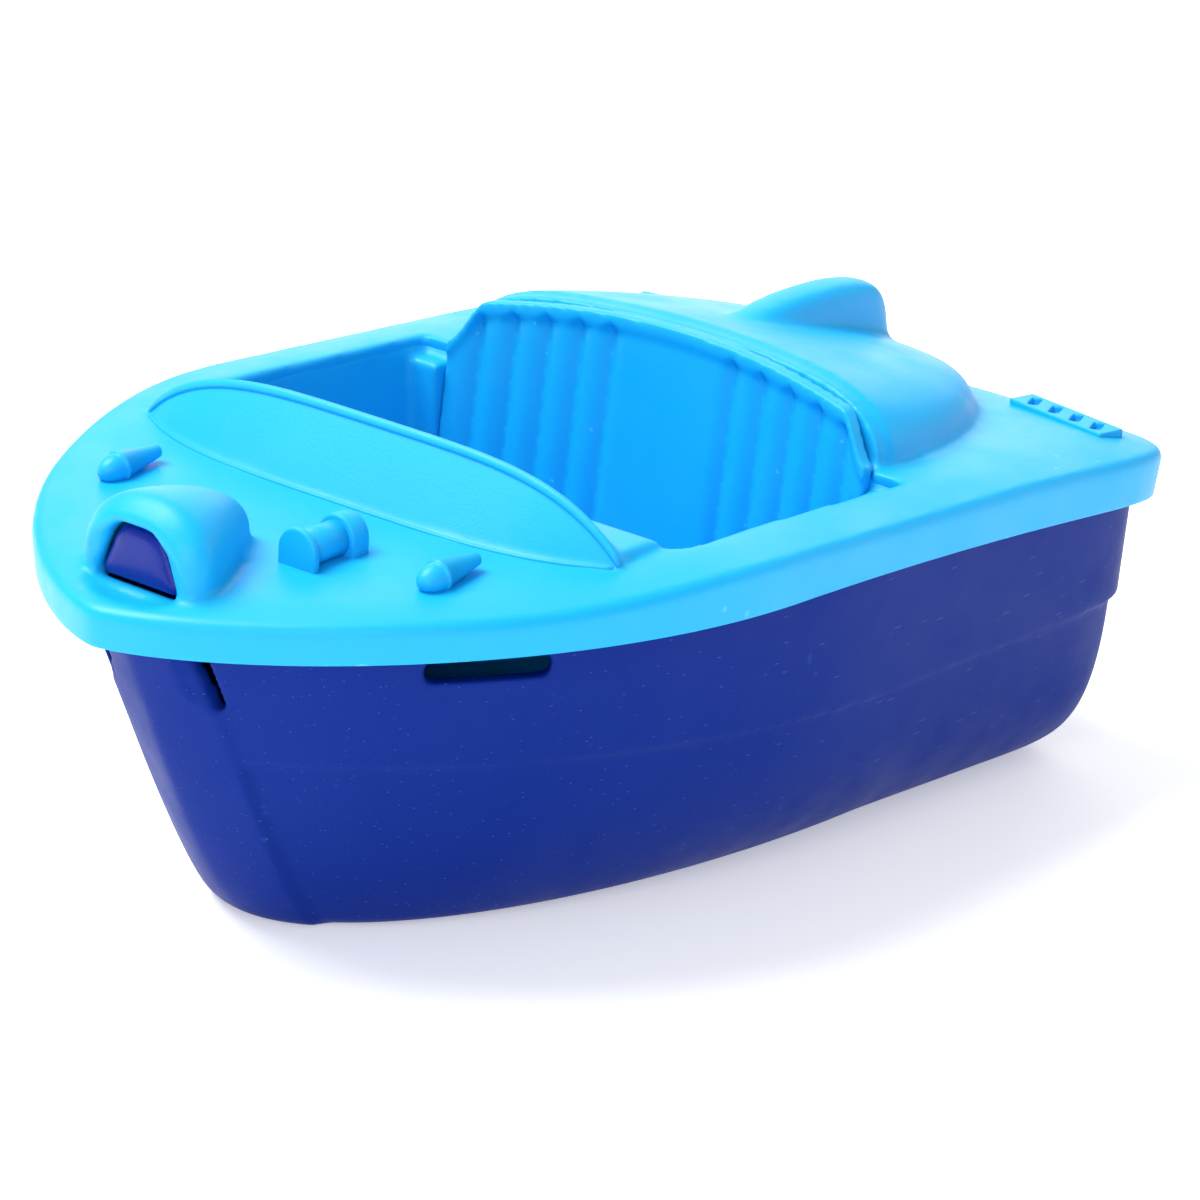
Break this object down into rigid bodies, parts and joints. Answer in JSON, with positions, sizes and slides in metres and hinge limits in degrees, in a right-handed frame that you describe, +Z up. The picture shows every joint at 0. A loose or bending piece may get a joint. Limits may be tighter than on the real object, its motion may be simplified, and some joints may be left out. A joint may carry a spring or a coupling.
{
  "type": "toy speedboat",
  "caption": "Open moulded plastic toy boat with a flat-bottomed hull, clipped-on deck, cockpit tub, curved seat back, low windscreen and bow light.",
  "frame": {"origin": "centre of the boat's plan, on the plane of the flat hull bottom", "axes": "+X towards the bow, +Y to port, +Z up"},
  "size_m": [0.165, 0.104, 0.063],
  "materials": {
    "hull_plastic": "satin moulded",
    "deck_plastic": "satin moulded",
    "light_plastic": "satin moulded"
  },
  "bodies": {
    "root": {"hull_shell": "hull_plastic", "deck": "deck_plastic", "cockpit_tub": "deck_plastic", "seat_back": "deck_plastic", "bow_light": "light_plastic"}
  },
  "joints": []
}
